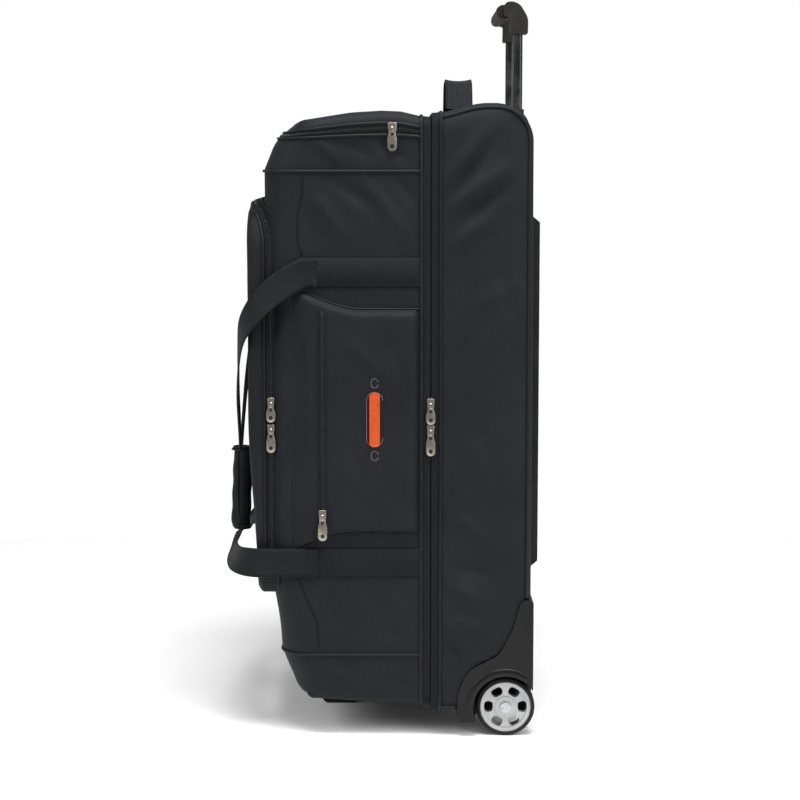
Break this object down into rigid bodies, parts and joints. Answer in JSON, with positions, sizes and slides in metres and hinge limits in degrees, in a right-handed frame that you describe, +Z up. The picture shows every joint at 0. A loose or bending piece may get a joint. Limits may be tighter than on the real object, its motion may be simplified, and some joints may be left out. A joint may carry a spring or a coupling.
{
  "type": "rolling duffel bag",
  "caption": "Tall soft-sided wheeled duffel with telescoping trolley handle, hinged front compartment, zipped pockets, webbing carry handles and guarded corner wheels.",
  "frame": {"origin": "On the floor, under the centre of the whole bag's outer box", "axes": "+Z up with the bag standing on its wheels and foot, +X towards the back with the trolley tubes and wheels, +Y away from the side with the main zip sliders"},
  "size_m": [0.422, 0.4374, 0.9672],
  "materials": {
    "shell_cloth": "coated charcoal-black polyester plain weave, fine rib, slight sheen",
    "webbing": "black woven polypropylene webbing",
    "zip_tape": "black knitted zip tape with nylon coil",
    "frame_board": "thin polyethylene back board",
    "rail_plastic": "grained injection-moulded black plastic",
    "guard_plastic": "moulded black plastic with a soft gloss",
    "grip_plastic": "fine-textured black plastic",
    "tube_metal": "black powder-coated steel tube",
    "steel": "zinc-plated steel",
    "hub_plastic": "silver-painted moulded plastic",
    "tyre": "dark polyurethane tread",
    "nickel": "nickel-plated zinc alloy, slightly warm"
  },
  "bodies": {
    "rear_case": {"rear_top_panel": "shell_cloth", "rear_bottom_panel": "shell_cloth", "rear_back_panel": "shell_cloth", "rear_side_panel_near": "shell_cloth", "rear_side_panel_far": "shell_cloth", "frame_board": "frame_board", "skid_rail_near": "rail_plastic", "skid_rail_far": "rail_plastic", "wheel_housing_near": "guard_plastic", "wheel_housing_far": "guard_plastic", "wheel_axles": "steel", "outer_tube_near": "tube_metal", "outer_tube_far": "tube_metal", "handle_collars": "rail_plastic", "tube_bracket": "rail_plastic", "screws": "steel", "rear_zip_tape": "zip_tape", "hinge_gusset": "shell_cloth"},
    "front_case": {"front_top_panel": "shell_cloth", "front_bottom_panel": "shell_cloth", "front_main_panel": "shell_cloth", "front_side_panel_near": "shell_cloth", "front_side_panel_far": "shell_cloth", "front_pocket": "shell_cloth", "side_pocket_near": "shell_cloth", "side_pocket_far": "shell_cloth", "webbing_near": "webbing", "webbing_far": "webbing", "front_foot": "rail_plastic", "front_zip_tape": "zip_tape", "top_zip_tape": "zip_tape", "front_pocket_tape": "zip_tape", "side_pocket_tapes": "zip_tape"},
    "carry_handle": {"grip_wrap": "shell_cloth", "handle_loop_near": "webbing", "handle_loop_far": "webbing"},
    "grab_strap": {"grab_strap": "webbing"},
    "trolley": {"trolley_tube_near": "tube_metal", "trolley_tube_far": "tube_metal", "tube_plugs": "rail_plastic", "trolley_grip": "grip_plastic"},
    "release_button": {"release_button": "grip_plastic"},
    "wheel_near": {"wheel_hub_near": "hub_plastic", "wheel_tyre_near": "tyre"},
    "wheel_far": {"wheel_hub_far": "hub_plastic", "wheel_tyre_far": "tyre"},
    "main_upper_slider": {"main_upper_slider": "nickel"},
    "main_upper_tab": {"main_upper_tab": "nickel"},
    "main_lower_slider": {"main_lower_slider": "nickel"},
    "main_lower_tab": {"main_lower_tab": "nickel"},
    "front_upper_slider": {"front_upper_slider": "nickel"},
    "front_upper_tab": {"front_upper_tab": "nickel"},
    "front_lower_slider": {"front_lower_slider": "nickel"},
    "front_lower_tab": {"front_lower_tab": "nickel"},
    "top_slider": {"top_slider": "nickel"},
    "top_tab": {"top_tab": "nickel"},
    "side_slider_near": {"side_slider_near": "nickel"},
    "side_tab_near": {"side_tab_near": "nickel"},
    "side_slider_far": {"side_slider_far": "nickel"},
    "side_tab_far": {"side_tab_far": "nickel"}
  },
  "joints": [
    {"name": "front_case_hinge", "type": "hinge", "parent": "rear_case", "child": "front_case", "pos_m": [0.067, 0.204, 0.4], "axis": [0, 0, -1], "range_deg": [0, 110]},
    {"name": "carry_handle_lift", "type": "slide", "parent": "front_case", "child": "carry_handle", "axis": [-1, 0, 0], "range_m": [0, 0.025]},
    {"name": "grab_strap_fold", "type": "hinge", "parent": "rear_case", "child": "grab_strap", "pos_m": [0.106, 0, 0.834], "axis": [0, 1, 0], "range_deg": [-40, 40]},
    {"name": "trolley_slide", "type": "slide", "parent": "rear_case", "child": "trolley", "axis": [0, 0, 1], "range_m": [-0.095, 0.16]},
    {"name": "button_press", "type": "slide", "parent": "trolley", "child": "release_button", "axis": [0, 0, -1], "range_m": [0, 0.0025], "stiffness_N_per_m": 500, "springref_m": -0.004},
    {"name": "wheel_near_spin", "type": "hinge", "parent": "rear_case", "child": "wheel_near", "pos_m": [0.167, -0.184, 0.0388], "axis": [0, 1, 0], "continuous": true},
    {"name": "wheel_far_spin", "type": "hinge", "parent": "rear_case", "child": "wheel_far", "pos_m": [0.167, 0.184, 0.0388], "axis": [0, 1, 0], "continuous": true},
    {"name": "main_upper_slider_travel", "type": "slide", "parent": "rear_case", "child": "main_upper_slider", "axis": [0, 0, 1], "range_m": [0, 0.32]},
    {"name": "main_upper_tab_swing", "type": "hinge", "parent": "main_upper_slider", "child": "main_upper_tab", "pos_m": [0.067, -0.2048, 0.4376], "axis": [-1, 0, 0], "range_deg": [0, 130]},
    {"name": "main_lower_slider_travel", "type": "slide", "parent": "rear_case", "child": "main_lower_slider", "axis": [0, 0, -1], "range_m": [0, 0.29]},
    {"name": "main_lower_tab_swing", "type": "hinge", "parent": "main_lower_slider", "child": "main_lower_tab", "pos_m": [0.067, -0.2048, 0.4026], "axis": [-1, 0, 0], "range_deg": [0, 130]},
    {"name": "front_upper_slider_travel", "type": "slide", "parent": "front_case", "child": "front_upper_slider", "axis": [0, 0, 1], "range_m": [0, 0.215]},
    {"name": "front_upper_tab_swing", "type": "hinge", "parent": "front_upper_slider", "child": "front_upper_tab", "pos_m": [-0.142, -0.1908, 0.4381], "axis": [-1, 0, 0], "range_deg": [0, 130]},
    {"name": "front_lower_slider_travel", "type": "slide", "parent": "front_case", "child": "front_lower_slider", "axis": [0, 0, -1], "range_m": [0, 0.12]},
    {"name": "front_lower_tab_swing", "type": "hinge", "parent": "front_lower_slider", "child": "front_lower_tab", "pos_m": [-0.142, -0.1908, 0.4031], "axis": [-1, 0, 0], "range_deg": [0, 130]},
    {"name": "top_slider_travel", "type": "slide", "parent": "front_case", "child": "top_slider", "axis": [1, 0, 0], "range_m": [-0.087, 0.018]},
    {"name": "top_tab_swing", "type": "hinge", "parent": "top_slider", "child": "top_tab", "pos_m": [0.017, -0.2048, 0.7956], "axis": [-1, 0, 0], "range_deg": [0, 130]},
    {"name": "side_slider_near_travel", "type": "slide", "parent": "front_case", "child": "side_slider_near", "axis": [0, 0, 1], "range_m": [0, 0.235]},
    {"name": "side_tab_near_swing", "type": "hinge", "parent": "side_slider_near", "child": "side_tab_near", "pos_m": [-0.074, -0.2168, 0.2926], "axis": [-1, 0, 0], "range_deg": [0, 130]},
    {"name": "side_slider_far_travel", "type": "slide", "parent": "front_case", "child": "side_slider_far", "axis": [0, 0, 1], "range_m": [0, 0.235]},
    {"name": "side_tab_far_swing", "type": "hinge", "parent": "side_slider_far", "child": "side_tab_far", "pos_m": [-0.074, 0.2168, 0.2926], "axis": [1, 0, 0], "range_deg": [0, 130]}
  ]
}
